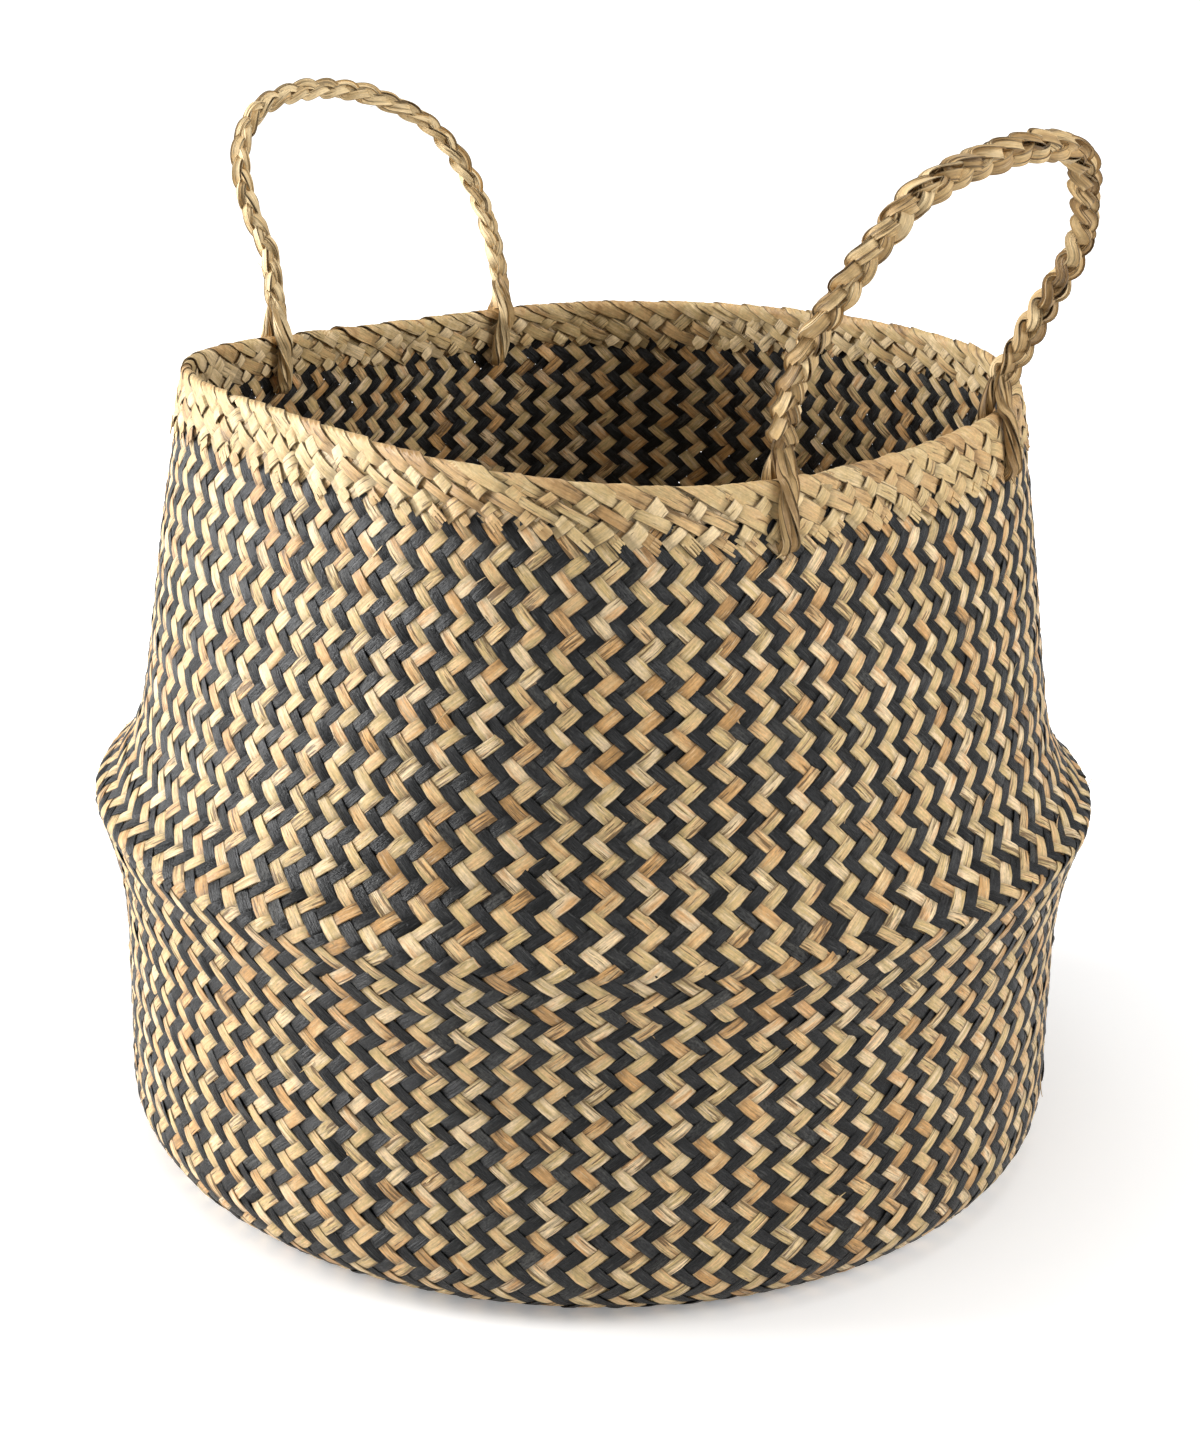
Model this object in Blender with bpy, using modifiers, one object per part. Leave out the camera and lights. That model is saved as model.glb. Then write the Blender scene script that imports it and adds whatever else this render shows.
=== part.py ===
"""A plaited belly basket with a folded belly, a folded rim band and two standing rope handles.

Metres, +Z up. The origin is the middle of the base's underside. The handles stand at +X and -X.
"""
import math

import bmesh
import bpy
from mathutils import Vector

# Plaited body, all radii to its outer face
RIDGE_RADIUS = 0.200
RIDGE_HEIGHT = 0.146
LOWER_RADIUS = 0.1888
WAIST_HEIGHT = 0.085
SHOULDER_RADIUS = 0.1849
RIM_RADIUS = 0.1537
RIM_HEIGHT = 0.3081
BASE_CORNER = 0.024
BASE_PANEL_RADIUS = 0.162
WALL = 0.003
BASE_THICKNESS = 0.003
FOLD_REACH = 0.055
FOLD_FOOT = 0.108
FOLD_HEAD = 0.212
UNDERCUT_POWER = 2.2
BELLY_POWER = 4.0
FOLD_SHARES = (0.06, 0.13, 0.23, 0.36, 0.55, 0.8)

# The mouth has settled into a soft square, a little lower beside the handles
SOFT_SQUARE_SHARE = 0.045
RIM_WAVE = 0.0049
RIM_WAVE_ANGLE = math.radians(75)

# Folded rim
BAND_HEIGHT = 0.020
BAND_THICKNESS = 0.0015
GAP = 0.0003

# Handles: one foot at each angle, a tilt away from upright and a height along the tilted loop
STRAND_RADIUS = 0.0026
ROPE_RADIUS = 0.0048
LASH_DROP = 0.0265
LASH_CORNER = 0.003
LASH_GAP = 0.0006
HANDLES = {
    "right_handle": {
        "feet": (math.radians(-21.2), math.radians(26.2)),
        "tilt": math.radians(23),
        "height": 0.105,
        "outline_shares": [(-1.08, 0.14), (-1.12, 0.30), (-1.07, 0.475), (-0.83, 0.74), (-0.55, 0.905),
                           (0.01, 0.98), (0.47, 0.965), (0.83, 0.89), (1.19, 0.63), (1.22, 0.47),
                           (1.15, 0.33), (1.06, 0.12)],
    },
    "left_handle": {
        "feet": (math.radians(198.0), math.radians(152.0)),
        "tilt": math.radians(20),
        "height": 0.089,
        "outline_shares": [(-0.98, 0.12), (-0.97, 0.27), (-1.06, 0.49), (-1.02, 0.74), (-0.77, 0.935),
                           (-0.30, 0.995), (0.16, 0.955), (0.64, 0.80), (0.90, 0.53), (1.00, 0.27),
                           (1.00, 0.10)],
    },
}

TURN_STEPS = 60
ROPE_STEP = 0.009
SMOOTH_ANGLE = math.radians(40)
MERGE = 0.00001

EDGE_RADIUS = WALL / 2 + GAP + BAND_THICKNESS
LASH_HALF_WIDTH = EDGE_RADIUS + LASH_GAP + STRAND_RADIUS
PIVOT_RISE = LASH_GAP + 2 * STRAND_RADIUS + GAP + ROPE_RADIUS
WALL_LEAN = (SHOULDER_RADIUS - RIM_RADIUS) / (RIM_HEIGHT - RIDGE_HEIGHT)

STRAW = (0.62, 0.43, 0.22, 1)
PLAIT = (0.33, 0.25, 0.15, 1)
ROPE = (0.50, 0.34, 0.17, 1)


def clear_scene():
    for obj in list(bpy.data.objects):
        bpy.data.objects.remove(obj, do_unlink=True)


def new_collection(name):
    collection = bpy.data.collections.new(name)
    bpy.context.scene.collection.children.link(collection)
    return collection


def principled(name, colour, roughness):
    material = bpy.data.materials.new(name)
    material.use_nodes = True
    shader = material.node_tree.nodes["Principled BSDF"]
    shader.inputs["Base Color"].default_value = colour
    shader.inputs["Roughness"].default_value = roughness
    shader.inputs["Metallic"].default_value = 0
    return material


def smoothstep(value):
    value = min(max(value, 0), 1)
    return value * value * (3 - 2 * value)


def wall_radius(height):
    """Radius of the plaited wall's outer face before the mouth settles."""
    if height < BASE_CORNER:
        return LOWER_RADIUS - BASE_CORNER + math.sqrt(BASE_CORNER ** 2 - (BASE_CORNER - height) ** 2)
    if height < WAIST_HEIGHT:
        return LOWER_RADIUS
    if height < RIDGE_HEIGHT:
        share = (height - WAIST_HEIGHT) / (RIDGE_HEIGHT - WAIST_HEIGHT)
        return LOWER_RADIUS + (RIDGE_RADIUS - LOWER_RADIUS) * share ** UNDERCUT_POWER
    cone = SHOULDER_RADIUS - WALL_LEAN * (height - RIDGE_HEIGHT)
    left = max(1 - (height - RIDGE_HEIGHT) / FOLD_REACH, 0)
    return cone + (RIDGE_RADIUS - SHOULDER_RADIUS) * left ** BELLY_POWER


def settle(radius, angle, height):
    """The place that a point of the round basket takes once the mouth has settled."""
    weight = smoothstep((height - RIDGE_HEIGHT) / (RIM_HEIGHT - RIDGE_HEIGHT))
    radius *= 1 - weight * SOFT_SQUARE_SHARE * math.cos(4 * angle)
    height += weight * RIM_WAVE * math.cos(2 * (angle - RIM_WAVE_ANGLE))
    return Vector((radius * math.cos(angle), radius * math.sin(angle), height))


def spread(low, high, count):
    return [low + (high - low) * index / (count - 1) for index in range(count)]


def add_object(name, mesh, collection, material=None):
    obj = bpy.data.objects.new(name, mesh)
    collection.objects.link(obj)
    if material:
        mesh.materials.clear()
        mesh.materials.append(material)
    return obj


def baked_mesh(obj):
    """Replace an object by the mesh that its modifiers or its curve make."""
    graph = bpy.context.evaluated_depsgraph_get()
    mesh = bpy.data.meshes.new_from_object(obj.evaluated_get(graph))
    work = bmesh.new()
    work.from_mesh(mesh)
    bmesh.ops.remove_doubles(work, verts=work.verts, dist=MERGE)
    work.to_mesh(mesh)
    work.free()
    bpy.data.objects.remove(obj, do_unlink=True)
    return mesh


def turned_piece(name, outline, collection, material):
    """Turn a closed (radius, height) outline round Z, then let the mouth settle."""
    mesh = bpy.data.meshes.new(name)
    edges = [(index, (index + 1) % len(outline)) for index in range(len(outline))]
    mesh.from_pydata([(radius, 0, height) for radius, height in outline], edges, [])
    turning = add_object(name + "_outline", mesh, collection)
    screw = turning.modifiers.new("turn", "SCREW")
    screw.axis = "Z"
    screw.angle = math.tau
    screw.steps = TURN_STEPS
    screw.render_steps = TURN_STEPS
    screw.use_merge_vertices = True
    screw.merge_threshold = MERGE
    solid = baked_mesh(turning)
    for vertex in solid.vertices:
        x, y, height = vertex.co
        vertex.co = settle(math.hypot(x, y), math.atan2(y, x), height)
    solid.shade_smooth()
    solid.set_sharp_from_angle(angle=SMOOTH_ANGLE)
    return add_object(name, solid, collection, material)


def wall_outline(heights, out_offset=0, in_offset=-WALL):
    """A strip of the wall through rising heights, between two offsets from its outer face."""
    outer = [(wall_radius(height) + out_offset, height) for height in reversed(heights)]
    inner = [(wall_radius(height) + in_offset, height) for height in heights]
    return outer + inner


def make_base_panel(collection, material):
    bpy.ops.mesh.primitive_cylinder_add(
        vertices=TURN_STEPS, radius=BASE_PANEL_RADIUS, depth=BASE_THICKNESS,
        location=(0, 0, BASE_THICKNESS / 2))
    panel = bpy.context.object
    panel.name = "base_panel"
    panel.data.materials.append(material)
    for owner in list(panel.users_collection):
        owner.objects.unlink(panel)
    collection.objects.link(panel)
    return panel


def make_base_corner(collection, material):
    """The rounded foot of the wall, which turns in to meet the base panel."""
    centre = LOWER_RADIUS - BASE_CORNER
    seat = BASE_PANEL_RADIUS + GAP
    turns = spread(0, math.pi / 2, 6)
    outside = [(centre + BASE_CORNER * math.cos(turn), BASE_CORNER * (1 - math.sin(turn)))
               for turn in turns]
    inside = [(centre + (BASE_CORNER - WALL) * math.cos(turn),
               BASE_CORNER - (BASE_CORNER - BASE_THICKNESS) * math.sin(turn))
              for turn in reversed(turns)]
    outline = outside + [(seat, 0), (seat, BASE_THICKNESS)] + inside
    return turned_piece("base_corner", outline, collection, material)


def make_lower_wall(collection, material):
    heights = [BASE_CORNER + GAP] + spread(WAIST_HEIGHT, FOLD_FOOT, 3)
    return turned_piece("lower_wall", wall_outline(heights), collection, material)


def make_belly_fold(collection, material):
    """The belly: an undercut, the ridge where the plaiting folds, and the slope above it."""
    heights = spread(FOLD_FOOT + GAP, RIDGE_HEIGHT, 5)
    heights += [RIDGE_HEIGHT + FOLD_REACH * share for share in FOLD_SHARES]
    heights.append(FOLD_HEAD)
    return turned_piece("belly_fold", wall_outline(heights), collection, material)


def make_upper_wall(collection, material):
    heights = spread(FOLD_HEAD + GAP, RIM_HEIGHT - EDGE_RADIUS - GAP, 7)
    return turned_piece("upper_wall", wall_outline(heights), collection, material)


def make_bands(collection, material):
    top = RIM_HEIGHT - EDGE_RADIUS - GAP
    heights = spread(top - BAND_HEIGHT, top, 4)
    outside = wall_outline(heights, GAP + BAND_THICKNESS, GAP)
    inside = wall_outline(heights, -WALL - GAP, -WALL - GAP - BAND_THICKNESS)
    turned_piece("rim_band_outer", outside, collection, material)
    turned_piece("rim_band_inner", inside, collection, material)


def make_rim_edge(collection, material):
    """The half-round edge where the strips fold over, resting on the wall and both bands."""
    height = RIM_HEIGHT - EDGE_RADIUS
    middle = wall_radius(height) - WALL / 2
    outline = [(middle - EDGE_RADIUS * math.cos(turn), height + EDGE_RADIUS * math.sin(turn))
               for turn in spread(0, math.pi, 9)]
    return turned_piece("rim_edge", outline, collection, material)


def make_tube(name, points, radius, shares, cyclic, collection, material):
    curve = bpy.data.curves.new(name, "CURVE")
    curve.dimensions = "3D"
    curve.bevel_depth = radius
    curve.bevel_resolution = 2
    curve.use_fill_caps = True
    curve.materials.append(material)
    spline = curve.splines.new("POLY")
    spline.points.add(len(points) - 1)
    for point, place, share in zip(spline.points, points, shares):
        point.co = (*place, 1)
        point.radius = share
    spline.use_cyclic_u = cyclic
    spline.use_smooth = True
    obj = bpy.data.objects.new(name, curve)
    collection.objects.link(obj)
    return obj


def lash_point(angle, offset, height):
    """A point beside the wall's middle at this angle: offset is measured outwards."""
    return settle(wall_radius(height) - WALL / 2 + offset, angle, height)


def make_lashing(name, angle, wall, collections, material):
    """One strand laid round the rim and through the wall, and the hole that it passes."""
    parts, cutters = collections
    top = RIM_HEIGHT - EDGE_RADIUS
    low = RIM_HEIGHT - LASH_DROP
    half = LASH_HALF_WIDTH
    corner = LASH_CORNER
    side = half - corner
    quarter = spread(0, math.pi / 2, 4)
    route = [(half * math.cos(turn), top + half * math.sin(turn)) for turn in spread(0, math.pi, 9)]
    route += [(-half, height) for height in spread(top, low + corner, 4)[1:-1]]
    route += [(-side - corner * math.cos(turn), low + corner - corner * math.sin(turn))
              for turn in quarter]
    route += [(side + corner * math.sin(turn), low + corner - corner * math.cos(turn))
              for turn in quarter]
    route += [(half, height) for height in spread(low + corner, top, 4)[1:-1]]
    points = [lash_point(angle, offset, height) for offset, height in route]
    make_tube(name, points, STRAND_RADIUS, [1] * len(points), True, parts, material)
    bpy.ops.mesh.primitive_cylinder_add(
        vertices=16, radius=STRAND_RADIUS + GAP, depth=2 * half, location=lash_point(angle, 0, low),
        rotation=(0, math.pi / 2, angle))
    cutter = bpy.context.object
    cutter.name = name + "_hole"
    for owner in list(cutter.users_collection):
        owner.objects.unlink(cutter)
    cutters.objects.link(cutter)
    cutter.hide_render = True
    cutter.display_type = "WIRE"
    cut = wall.modifiers.new(name + "_hole", "BOOLEAN")
    cut.operation = "DIFFERENCE"
    cut.solver = "EXACT"
    cut.object = cutter


def catmull(points, step):
    """Evenly spaced points on a smooth curve through the given ones."""
    ends = [2 * points[0] - points[1]] + points + [2 * points[-1] - points[-2]]
    dense = []
    for first, start, end, last in zip(ends, ends[1:], ends[2:], ends[3:]):
        for share in spread(0, 1, 25)[:-1]:
            dense.append(0.5 * (2 * start + (end - first) * share
                                + (2 * first - 5 * start + 4 * end - last) * share ** 2
                                + (3 * start - 3 * end + last - first) * share ** 3))
    dense.append(points[-1])
    lengths = [0]
    for start, end in zip(dense, dense[1:]):
        lengths.append(lengths[-1] + (end - start).length)
    count = max(round(lengths[-1] / step), 2)
    result = []
    index = 0
    for target in spread(0, lengths[-1], count + 1):
        while index < len(dense) - 2 and lengths[index + 1] < target:
            index += 1
        share = (target - lengths[index]) / (lengths[index + 1] - lengths[index])
        result.append(dense[index].lerp(dense[index + 1], share))
    return result


def handle_frame(shape):
    """The loop's hinge: its middle, and its axis, outward and upward directions."""
    first, last = (settle(RIM_RADIUS - WALL / 2, angle, RIM_HEIGHT) for angle in shape["feet"])
    rise = Vector((0, 0, PIVOT_RISE))
    first, last = first + rise, last + rise
    middle = (first + last) / 2
    axis = (last - first).normalized()
    outward = Vector((middle.x, middle.y, 0))
    outward = (outward - axis * outward.dot(axis)).normalized()
    up = axis.cross(outward)
    if up.z < 0:
        up = -up
    return middle, (last - first).length / 2, axis, outward, up


def make_handle(name, shape, collection, material):
    """A stiff rope loop whose rounded feet sit on the lashings, its origin on its hinge axis."""
    middle, half, axis, outward, up = handle_frame(shape)
    lean = up * math.cos(shape["tilt"]) + outward * math.sin(shape["tilt"])
    points = [axis * -half]
    points += [axis * (half * across) + lean * (shape["height"] * rise)
               for across, rise in shape["outline_shares"]]
    points.append(axis * half)
    route = catmull(points, ROPE_STEP)
    foot_turns = [math.radians(degrees) for degrees in (22, 45, 68)]
    start = (route[1] - route[0]).normalized()
    end = (route[-2] - route[-1]).normalized()
    head = [route[0] - start * (ROPE_RADIUS * math.cos(turn)) for turn in foot_turns]
    tail = [route[-1] - end * (ROPE_RADIUS * math.cos(turn)) for turn in reversed(foot_turns)]
    shares = [math.sin(turn) for turn in foot_turns]
    all_points = head + route + tail
    all_shares = shares + [1] * len(route) + shares[::-1]
    handle = make_tube(name, all_points, ROPE_RADIUS, all_shares, False, collection, material)
    handle.location = middle
    return handle


def build():
    clear_scene()
    parts = new_collection("belly_basket")
    cutters = new_collection("cutters")
    plait = principled("plaited_sedge", PLAIT, 0.7)
    make_base_panel(parts, plait)
    make_base_corner(parts, principled("plaited_corner", PLAIT, 0.7))
    make_lower_wall(parts, principled("plaited_lower", PLAIT, 0.7))
    make_belly_fold(parts, principled("plaited_fold", PLAIT, 0.7))
    wall = make_upper_wall(parts, principled("plaited_upper", PLAIT, 0.7))
    make_bands(parts, principled("plain_band", STRAW, 0.7))
    make_rim_edge(parts, principled("plain_edge", STRAW, 0.7))
    rope = principled("braided_rope", ROPE, 0.75)
    strand = principled("lashing_strand", ROPE, 0.75)
    for name, shape in HANDLES.items():
        make_handle(name, shape, parts, rope)
        for place, angle in zip(("first", "second"), shape["feet"]):
            lashing = name.replace("handle", place + "_lashing")
            make_lashing(lashing, angle, wall, (parts, cutters), strand)
    bpy.context.view_layer.update()


build()
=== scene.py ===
"""The looks of the belly basket: real plaited strips, a folded rim band, braided handles and their lashings.

Metres, +Z up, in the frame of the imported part. The handles stand at +X and -X.
"""
import math

import bpy
import numpy as np
from mathutils import Matrix, Vector


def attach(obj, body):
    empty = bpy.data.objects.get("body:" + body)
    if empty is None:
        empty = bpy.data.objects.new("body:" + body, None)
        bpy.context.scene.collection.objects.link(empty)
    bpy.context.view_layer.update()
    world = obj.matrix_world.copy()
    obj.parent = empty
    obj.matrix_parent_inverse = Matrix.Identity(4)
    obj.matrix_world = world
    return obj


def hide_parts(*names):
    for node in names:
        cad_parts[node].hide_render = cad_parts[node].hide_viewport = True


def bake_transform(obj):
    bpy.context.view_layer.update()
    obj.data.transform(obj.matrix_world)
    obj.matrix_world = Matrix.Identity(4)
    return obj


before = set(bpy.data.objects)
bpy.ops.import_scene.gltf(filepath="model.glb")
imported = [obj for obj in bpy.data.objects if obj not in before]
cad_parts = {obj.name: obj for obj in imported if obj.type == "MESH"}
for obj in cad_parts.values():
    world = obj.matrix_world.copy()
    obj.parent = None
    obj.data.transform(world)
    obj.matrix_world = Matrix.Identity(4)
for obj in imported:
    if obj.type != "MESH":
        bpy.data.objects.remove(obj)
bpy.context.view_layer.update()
rng = np.random.default_rng(11)

MM = 0.001

# Plaited body, the same driving sizes as the part's; radii are to the outer face
RIDGE_RADIUS = 0.200
RIDGE_HEIGHT = 0.146
LOWER_RADIUS = 0.1888
WAIST_HEIGHT = 0.085
SHOULDER_RADIUS = 0.1849
RIM_RADIUS = 0.1537
RIM_HEIGHT = 0.3081
BASE_CORNER = 0.024
FOLD_REACH = 0.055
UNDERCUT_POWER = 2.2
BELLY_POWER = 4.0
SOFT_SQUARE_SHARE = 0.045
RIM_WAVE = 0.0049
RIM_WAVE_ANGLE = math.radians(75)
WALL = 0.003

# Strips: 160 each way round, crossing in rows counted up the wall from the edge of the flat base
STRIPS = 160
SIDE_STRIPS = STRIPS // 4
RIDGE_ROW = 49
TOP_ROW = 101
CORNER_ANGLE = math.radians(45)
STRIP_INSET = 0.62 * MM
RIM_INSET = 1.6 * MM
END_ROWS = 0.4
STRIP_LIFT = 0.36 * MM
STRIP_THICKNESS = 0.50 * MM
RIDGE_SOFTNESS = 1.5 * MM
PLAIT_PIECES = 16

# The folded band: 80 broad strips each way, in rows counted down the outside from the rim
BAND_STRIPS = 80
BAND_ROW = 3.9 * MM
BAND_OFFSET = 1.25 * MM
BAND_LIFT = 0.46 * MM
BAND_THICKNESS = 0.42 * MM

# Lashings, as in the part; the drawn strands cross the wall LASH_RISE higher than the part's hole
STRAND_RADIUS = 0.0026
ROPE_RADIUS = 0.0048
GAP = 0.0003
LASH_DROP = 0.0265
LASH_GAP = 0.0006
BAND_SKIN = 0.0018
PIVOT_RISE = LASH_GAP + 2 * STRAND_RADIUS + GAP + ROPE_RADIUS
LASH_RISE = 2.4 * MM

# Handles: feet, tilt, height and outline as in the part; turns, thickness and tone belong to the braid, and
# the left braid's higher tone is painted light for the brighter lit left handle
HANDLES = {
    "right": {
        "feet": (math.radians(-21.2), math.radians(26.2)),
        "tilt": math.radians(23),
        "height": 0.105,
        "turns": (-0.75, -0.40, 0.45),
        "thickness": 1.16,
        "tone": 0.36,
        "outline_shares": [(-1.08, 0.14), (-1.12, 0.30), (-1.07, 0.475), (-0.83, 0.74), (-0.55, 0.905),
                           (0.01, 0.98), (0.47, 0.965), (0.83, 0.89), (1.19, 0.63), (1.22, 0.47),
                           (1.15, 0.33), (1.06, 0.12)],
    },
    "left": {
        "feet": (math.radians(198.0), math.radians(152.0)),
        "tilt": math.radians(20),
        "height": 0.089,
        "turns": (-0.70, -0.35, 0.65),
        "thickness": 0.86,
        # Painted light: the left braid is made lighter than the right one
        "tone": 0.94,
        "outline_shares": [(-0.98, 0.12), (-0.97, 0.27), (-1.06, 0.49), (-1.02, 0.74), (-0.77, 0.935),
                           (-0.30, 0.995), (0.16, 0.955), (0.64, 0.80), (0.90, 0.53), (1.00, 0.27),
                           (1.00, 0.10)],
    },
}


def smoothstep(value):
    value = np.clip(value, 0, 1)
    return value * value * (3 - 2 * value)


def unit(vectors):
    return vectors / np.linalg.norm(vectors, axis=-1, keepdims=True)


def path_length(points):
    """The way along a line of points, at each of them."""
    return np.concatenate([[0], np.cumsum(np.linalg.norm(np.diff(points, axis=0), axis=1))])


# The wall's middle surface

def outer_radius(height):
    """Radius of the wall's outer face before the mouth settles, for an array of heights."""
    lean = (SHOULDER_RADIUS - RIM_RADIUS) / (RIM_HEIGHT - RIDGE_HEIGHT)
    foot = np.sqrt(np.clip(BASE_CORNER ** 2 - (BASE_CORNER - height) ** 2, 0, None))
    rise = np.clip((height - WAIST_HEIGHT) / (RIDGE_HEIGHT - WAIST_HEIGHT), 0, 1)
    left = np.clip(1 - (height - RIDGE_HEIGHT) / FOLD_REACH, 0, 1)
    low = LOWER_RADIUS + (RIDGE_RADIUS - LOWER_RADIUS) * rise ** UNDERCUT_POWER
    high = SHOULDER_RADIUS - lean * (height - RIDGE_HEIGHT)
    high = high + (RIDGE_RADIUS - SHOULDER_RADIUS) * left ** BELLY_POWER
    radius = np.where(height < RIDGE_HEIGHT, low, high)
    return np.where(height < BASE_CORNER, LOWER_RADIUS - BASE_CORNER + foot, radius)


def wall_profile():
    """Rows, radii and heights of the strips' middle surface, from the flat base's edge to the rim."""
    turns = np.linspace(0, math.pi / 2, 200)[:-1]
    heights = np.concatenate([BASE_CORNER * (1 - np.cos(turns)),
                              np.linspace(BASE_CORNER, RIDGE_HEIGHT, 600)[:-1],
                              np.linspace(RIDGE_HEIGHT, RIM_HEIGHT - BAND_SKIN, 1000)])
    radii = outer_radius(heights)
    step = 0.2 * MM
    path = np.concatenate([[0], np.cumsum(np.hypot(np.diff(radii), np.diff(heights)))])
    even = np.arange(0, path[-1], step)
    radii, heights = np.interp(even, path, radii), np.interp(even, path, heights)
    ridge = int(np.argmax(radii))
    reach = int(4 * RIDGE_SOFTNESS / step)
    kernel = np.exp(-0.5 * (np.arange(-reach, reach + 1) * step / RIDGE_SOFTNESS) ** 2)
    kernel /= kernel.sum()
    around = slice(ridge - 4 * reach, ridge + 4 * reach)
    for values in (radii, heights):
        values[around][reach:-reach] = np.convolve(values[around], kernel, "valid")
    slope_r, slope_z = np.gradient(radii), np.gradient(heights)
    length = np.hypot(slope_r, slope_z)
    middle = (RIDGE_HEIGHT + RIM_HEIGHT) / 2
    inset = STRIP_INSET + (RIM_INSET - STRIP_INSET) * smoothstep((heights - middle) / (RIM_HEIGHT - middle))
    radii = radii - inset * slope_z / length
    heights = heights + inset * slope_r / length
    rows = np.interp(np.arange(len(radii)), [0, ridge, len(radii) - 1], [0, RIDGE_ROW, TOP_ROW])
    return rows, radii, heights


ROWS, ROW_RADII, ROW_HEIGHTS = wall_profile()


def settle(radius, angle, height):
    """Place of a point of the round basket once the mouth has settled."""
    weight = smoothstep((height - RIDGE_HEIGHT) / (RIM_HEIGHT - RIDGE_HEIGHT))
    radius = radius * (1 - weight * SOFT_SQUARE_SHARE * np.cos(4 * angle))
    height = height + weight * RIM_WAVE * np.cos(2 * (angle - RIM_WAVE_ANGLE))
    return np.stack([radius * np.cos(angle), radius * np.sin(angle), height], -1)


# Waves by which the grid strays: size in strips or rows, waves round, rows to a radian, phase
TURN_WAVES = [(0.22, 2, 19, 0.0), (0.16, 5, -11, 1.0), (0.07, 11, 6, 2.2)]
ROW_WAVES = [(0.50, 3, math.inf, 0.6), (0.30, 7, -15, 2.0), (0.12, 17, 8, 0.0)]
STRAY_HOLD = 500


def wander(turn, row):
    """How far hand plaiting strays from an even grid, in strips and rows; none at the base and the rim."""
    round_it = math.tau * turn / STRIPS
    turn_stray, row_stray = (
        sum(size * np.sin(waves * round_it + row / rows + phase) for size, waves, rows, phase in table)
        for table in (TURN_WAVES, ROW_WAVES))
    hold = np.clip(row * (TOP_ROW - row) / STRAY_HOLD, 0, 1)
    return turn_stray * hold, row_stray * hold


def wall_point(turn, row):
    """A point of the middle surface: turn counts strips round from a corner of the base."""
    turn_stray, row_stray = wander(turn, row)
    angle = CORNER_ANGLE + math.tau * (turn + turn_stray) / STRIPS
    row = row + row_stray
    return settle(np.interp(row, ROWS, ROW_RADII), angle, np.interp(row, ROWS, ROW_HEIGHTS))


def wall_frame(turn, row):
    """Points, outward normals and upward tangents of the middle surface."""
    step = 0.05
    row = np.clip(row, 0, TOP_ROW)
    round_it = wall_point(turn + step, row) - wall_point(turn - step, row)
    up = wall_point(turn, np.minimum(row + step, TOP_ROW)) - wall_point(turn, np.maximum(row - step, 0))
    up = unit(up)
    return wall_point(turn, row), unit(np.cross(round_it, up)), up


def base_point(side, across, inward):
    """A point of the flat base, from its place on a square mat that is drawn out to a disc."""
    edge = math.sqrt(2)
    u, v = edge * np.sin(math.pi * across / 4), edge * np.sin(math.pi * inward / 4)
    x, y = u * np.sqrt(np.clip(1 - v * v / 2, 0, 1)), v * np.sqrt(np.clip(1 - u * u / 2, 0, 1))
    out = CORNER_ANGLE + math.pi / 2 * (side + 0.5)
    radius = ROW_RADII[0]
    height = np.full_like(x, ROW_HEIGHTS[0])
    return np.stack([radius * (y * math.cos(out) - x * math.sin(out)),
                     radius * (y * math.sin(out) + x * math.cos(out)), height], -1)


# Swept blades

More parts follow.
